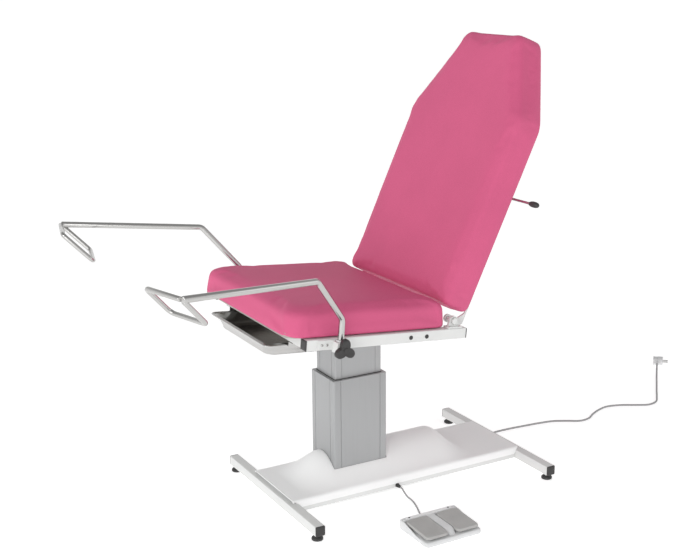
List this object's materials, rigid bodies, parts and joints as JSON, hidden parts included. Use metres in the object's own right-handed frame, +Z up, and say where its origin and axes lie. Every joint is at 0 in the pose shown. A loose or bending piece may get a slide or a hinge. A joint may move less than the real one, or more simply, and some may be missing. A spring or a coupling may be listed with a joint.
{
  "type": "gynaecological examination table",
  "caption": "Height-adjustable gynaecological examination table: reclining back, leg supports, pull-out tray, column lift and footswitch.",
  "frame": {"origin": "on the floor, at the middle of the box round the table without its mains lead", "axes": "+Z up; +X from the foot end to the head end; -Y is the patient's left side, where the footswitch and the release lever are"},
  "size_m": [2.4307, 0.9888, 1.3655],
  "materials": {
    "white_paint": "off-white powder coat, satin",
    "column_aluminium": "clear anodised extrusion, fine vertical grain",
    "dark_steel": "zinc-grey steel",
    "stainless": "satin stainless steel",
    "cover_white": "smooth formed sheet",
    "black_plastic": "moulded, matt",
    "grey_plastic": "light grey moulded plastic",
    "pedal_grey": "mid grey moulded plastic",
    "pink_vinyl": "pink vinyl leathercloth over foam, fine leather grain",
    "plywood": "birch plywood with a dark resin film",
    "grey_cord": "grey sheathed flexible lead"
  },
  "bodies": {
    "base": {"front_cross_tube": "white_paint", "rear_cross_tube": "white_paint", "left_long_tube": "white_paint", "right_long_tube": "white_paint", "column_base_plate": "dark_steel", "outer_column": "column_aluminium", "lift_motor": "dark_steel", "lift_spindle": "stainless", "control_box": "black_plastic", "base_cover": "cover_white", "mains_inlet_plate": "dark_steel", "power_gland": "black_plastic", "power_cord": "grey_cord", "power_plug": "grey_plastic", "footswitch_gland": "black_plastic", "footswitch_cord": "grey_cord", "footswitch_housing": "grey_plastic"},
    "front_left_foot_screw": {"front_left_foot": "black_plastic"},
    "front_right_foot_screw": {"front_right_foot": "black_plastic"},
    "rear_left_foot_screw": {"rear_left_foot": "black_plastic"},
    "rear_right_foot_screw": {"rear_right_foot": "black_plastic"},
    "left_pedal_plate": {"left_pedal": "pedal_grey"},
    "right_pedal_plate": {"right_pedal": "pedal_grey"},
    "seat_lift": {"inner_column": "column_aluminium", "spindle_nut": "dark_steel", "column_top_plate": "dark_steel", "left_seat_rail": "white_paint", "right_seat_rail": "white_paint", "front_cross_member": "white_paint", "middle_cross_member": "white_paint", "rear_cross_member": "white_paint", "seat_board": "plywood", "seat_cushion": "pink_vinyl", "left_hinge_bracket": "white_paint", "right_hinge_bracket": "white_paint", "left_tray_runner": "stainless", "right_tray_runner": "stainless", "gas_spring_anchor": "dark_steel", "left_leg_clamp": "white_paint", "right_leg_clamp": "white_paint"},
    "tray": {"instrument_tray": "stainless"},
    "left_swivel": {"left_clamp_bush": "grey_plastic"},
    "left_leg": {"left_leg_support": "stainless"},
    "left_knob": {"left_clamp_knob": "black_plastic"},
    "right_swivel": {"right_clamp_bush": "grey_plastic"},
    "right_leg": {"right_leg_support": "stainless"},
    "right_knob": {"right_clamp_knob": "black_plastic"},
    "backrest": {"left_hinge_arm": "white_paint", "right_hinge_arm": "white_paint", "backrest_lower_tube": "white_paint", "backrest_upper_tube": "white_paint", "left_backrest_tube": "white_paint", "right_backrest_tube": "white_paint", "backrest_board": "plywood", "backrest_cushion": "pink_vinyl", "gas_spring_fork": "dark_steel", "release_valve_box": "black_plastic"},
    "lever": {"release_lever": "black_plastic"},
    "spring_cylinder": {"gas_spring_cylinder": "dark_steel"},
    "spring_rod": {"gas_spring_rod": "stainless"}
  },
  "joints": [
    {"name": "column_lift", "type": "slide", "parent": "base", "child": "seat_lift", "axis": [0, 0, 1], "range_m": [-0.15, 0.095]},
    {"name": "backrest_recline", "type": "hinge", "parent": "seat_lift", "child": "backrest", "pos_m": [0.26362, 0, 0.58397], "axis": [0, 1, 0], "range_deg": [-4, 61]},
    {"name": "gas_spring_swing", "type": "hinge", "parent": "seat_lift", "child": "spring_cylinder", "pos_m": [0.07724, 0.115, 0.51897], "axis": [0, 1, 0], "range_deg": [-1, 13.5]},
    {"name": "gas_spring_stroke", "type": "slide", "parent": "spring_cylinder", "child": "spring_rod", "axis": [0.9699, 0, 0.2436], "range_m": [-0.04, 0.004]},
    {"name": "tray_slide", "type": "slide", "parent": "seat_lift", "child": "tray", "axis": [-0.9962, 0, 0.0872], "range_m": [0, 0.18]},
    {"name": "left_leg_swivel", "type": "hinge", "parent": "seat_lift", "child": "left_swivel", "pos_m": [-0.12536, -0.3265, 0.56681], "axis": [0.0872, 0, 0.9962], "range_deg": [-24, 60]},
    {"name": "left_leg_height", "type": "slide", "parent": "left_swivel", "child": "left_leg", "axis": [0.0872, 0, 0.9962], "range_m": [-0.038, 0.014]},
    {"name": "left_knob_turn", "type": "hinge", "parent": "seat_lift", "child": "left_knob", "pos_m": [-0.12457, -0.34, 0.57577], "axis": [0, -1, 0], "continuous": true},
    {"name": "right_leg_swivel", "type": "hinge", "parent": "seat_lift", "child": "right_swivel", "pos_m": [-0.12536, 0.3265, 0.56681], "axis": [0.0872, 0, 0.9962], "range_deg": [-60, 24]},
    {"name": "right_leg_height", "type": "slide", "parent": "right_swivel", "child": "right_leg", "axis": [0.0872, 0, 0.9962], "range_m": [-0.038, 0.014]},
    {"name": "right_knob_turn", "type": "hinge", "parent": "seat_lift", "child": "right_knob", "pos_m": [-0.12457, 0.34, 0.57577], "axis": [0, 1, 0], "continuous": true},
    {"name": "release_lever_pull", "type": "hinge", "parent": "backrest", "child": "lever", "pos_m": [0.495, -0.18, 0.908], "axis": [0.4289, 0, 0.9033], "range_deg": [0, 8], "stiffness_Nm_per_rad": 6, "springref_deg": -5.73},
    {"name": "left_pedal_press", "type": "hinge", "parent": "base", "child": "left_pedal_plate", "pos_m": [0.107, -0.36, 0.0265], "axis": [1, 0, 0], "range_deg": [0, 2.5], "stiffness_Nm_per_rad": 25, "springref_deg": -3.44},
    {"name": "right_pedal_press", "type": "hinge", "parent": "base", "child": "right_pedal_plate", "pos_m": [0.203, -0.36, 0.0265], "axis": [1, 0, 0], "range_deg": [0, 2.5], "stiffness_Nm_per_rad": 25, "springref_deg": -3.44},
    {"name": "front_left_foot_turn", "type": "hinge", "parent": "base", "child": "front_left_foot_screw", "pos_m": [-0.175, -0.274, 0.01], "axis": [0, 0, 1], "continuous": true},
    {"name": "front_right_foot_turn", "type": "hinge", "parent": "base", "child": "front_right_foot_screw", "pos_m": [-0.175, 0.274, 0.01], "axis": [0, 0, 1], "continuous": true},
    {"name": "rear_left_foot_turn", "type": "hinge", "parent": "base", "child": "rear_left_foot_screw", "pos_m": [0.646, -0.274, 0.01], "axis": [0, 0, 1], "continuous": true},
    {"name": "rear_right_foot_turn", "type": "hinge", "parent": "base", "child": "rear_right_foot_screw", "pos_m": [0.646, 0.274, 0.01], "axis": [0, 0, 1], "continuous": true}
  ],
  "couplings": [
    {"joint": "gas_spring_swing", "follows": "backrest_recline", "ratio": 0.2085},
    {"joint": "gas_spring_stroke", "follows": "backrest_recline", "m_per_rad": -0.036248}
  ]
}
